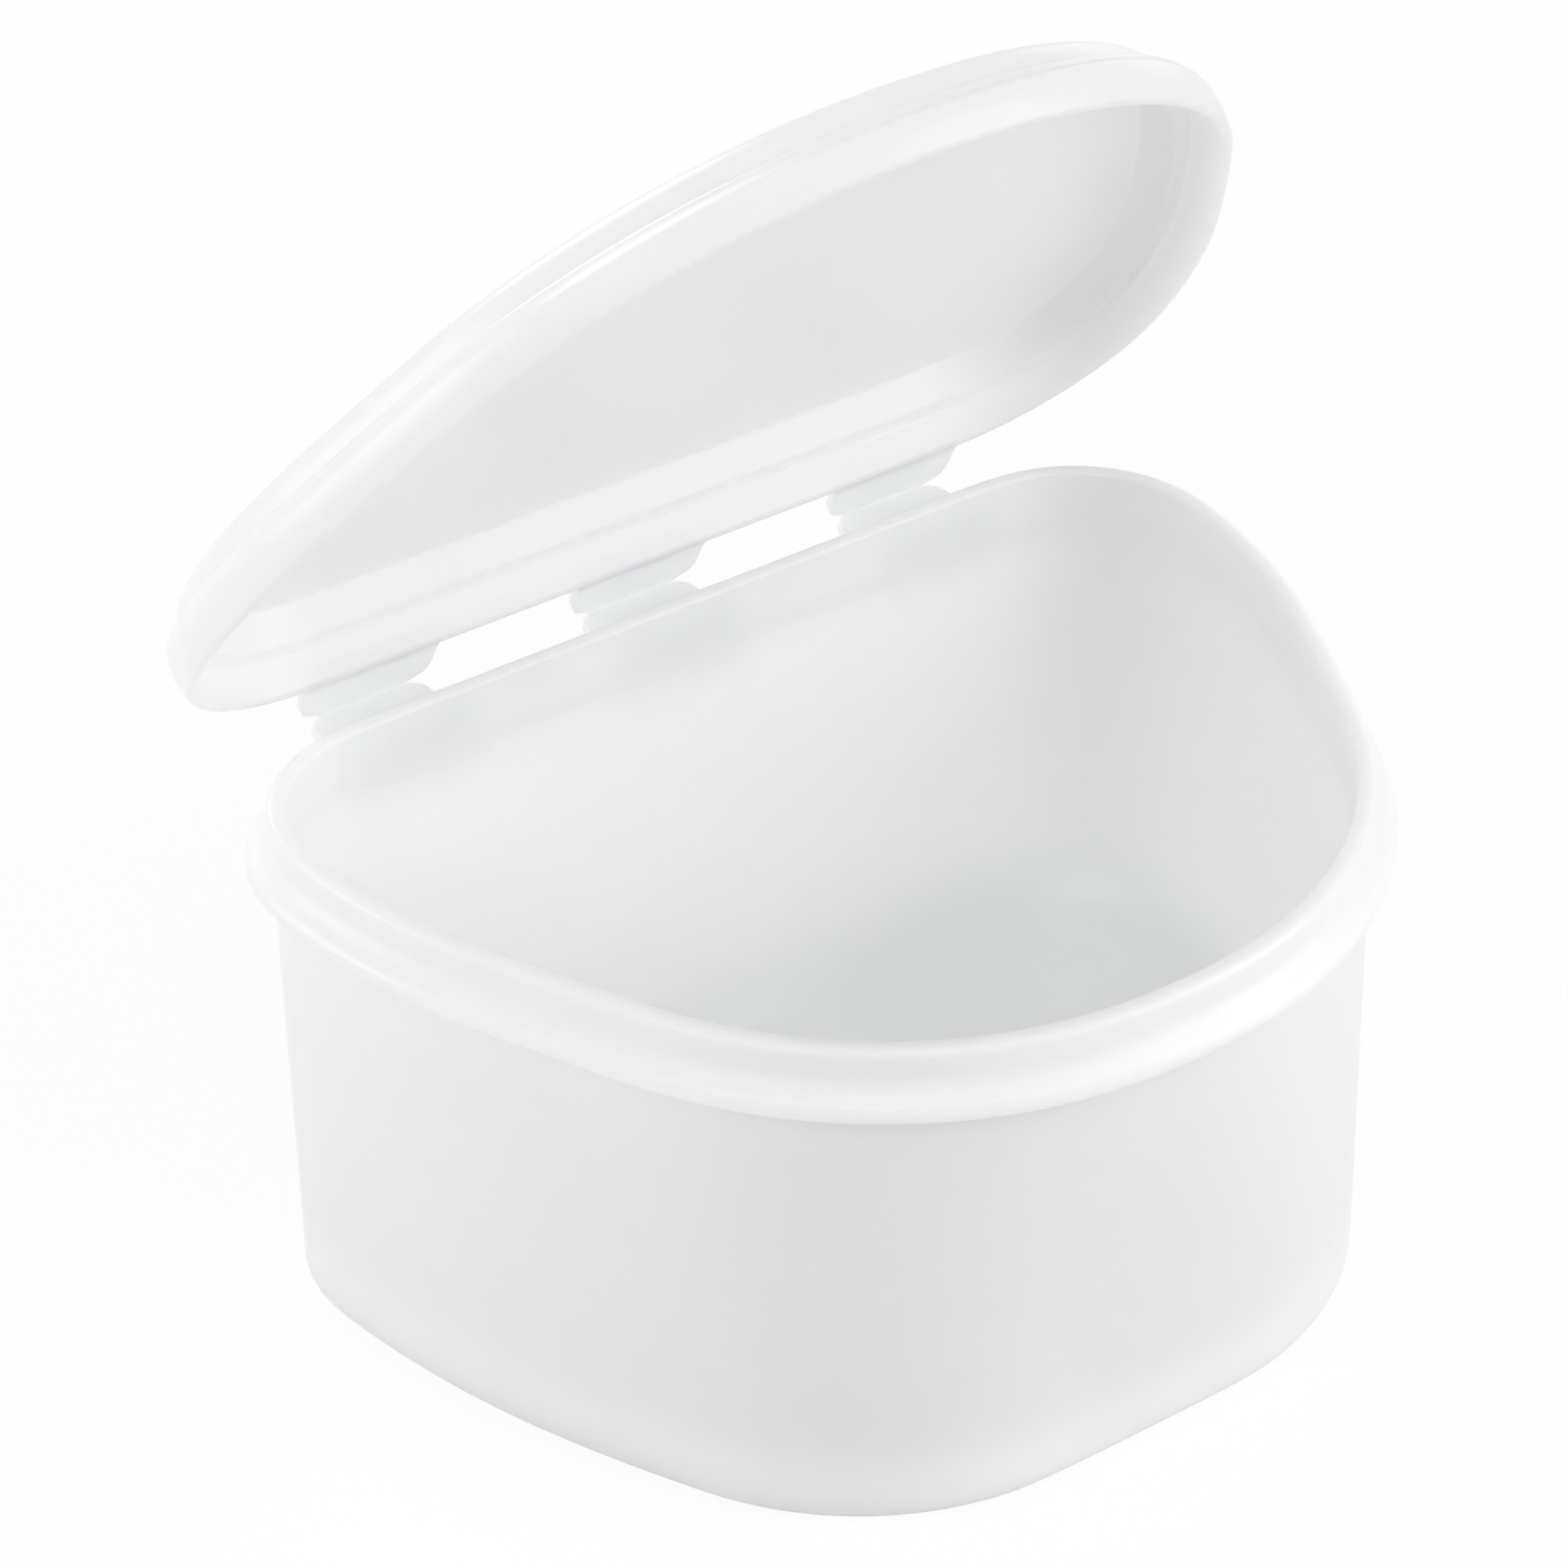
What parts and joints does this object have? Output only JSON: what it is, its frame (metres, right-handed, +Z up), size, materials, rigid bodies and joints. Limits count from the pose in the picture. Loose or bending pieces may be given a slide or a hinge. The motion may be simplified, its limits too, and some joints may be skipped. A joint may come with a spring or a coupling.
{
  "type": "denture case",
  "caption": "Open white moulded plastic denture case: a straight-backed, bow-fronted bowl with a lid on flexible strap hinges.",
  "frame": {"origin": "on the flat underside of the bowl, below the middle of the rim's depth and width", "axes": "+X to the right along the hinge, +Y towards the hinge at the back, +Z up out of the bowl"},
  "size_m": [0.0986, 0.0798, 0.1094],
  "materials": {
    "bowl_plastic": "semi-gloss white polypropylene, faintly translucent",
    "lid_plastic": "semi-gloss white polypropylene, polished on the skirt",
    "strap_plastic": "thin white polypropylene, slightly translucent where it folds"
  },
  "bodies": {
    "bowl": {"tub": "bowl_plastic", "tub_leaf_left": "strap_plastic", "tub_leaf_middle": "strap_plastic", "tub_leaf_right": "strap_plastic", "film_left": "strap_plastic", "film_middle": "strap_plastic", "film_right": "strap_plastic"},
    "cover": {"lid": "lid_plastic", "lid_leaf_left": "strap_plastic", "lid_leaf_middle": "strap_plastic", "lid_leaf_right": "strap_plastic"}
  },
  "joints": [
    {"name": "lid_hinge", "type": "hinge", "parent": "bowl", "child": "cover", "pos_m": [0, 0.0414, 0.04358], "axis": [-1, 0, 0], "range_deg": [-53.5, 126.5]}
  ]
}
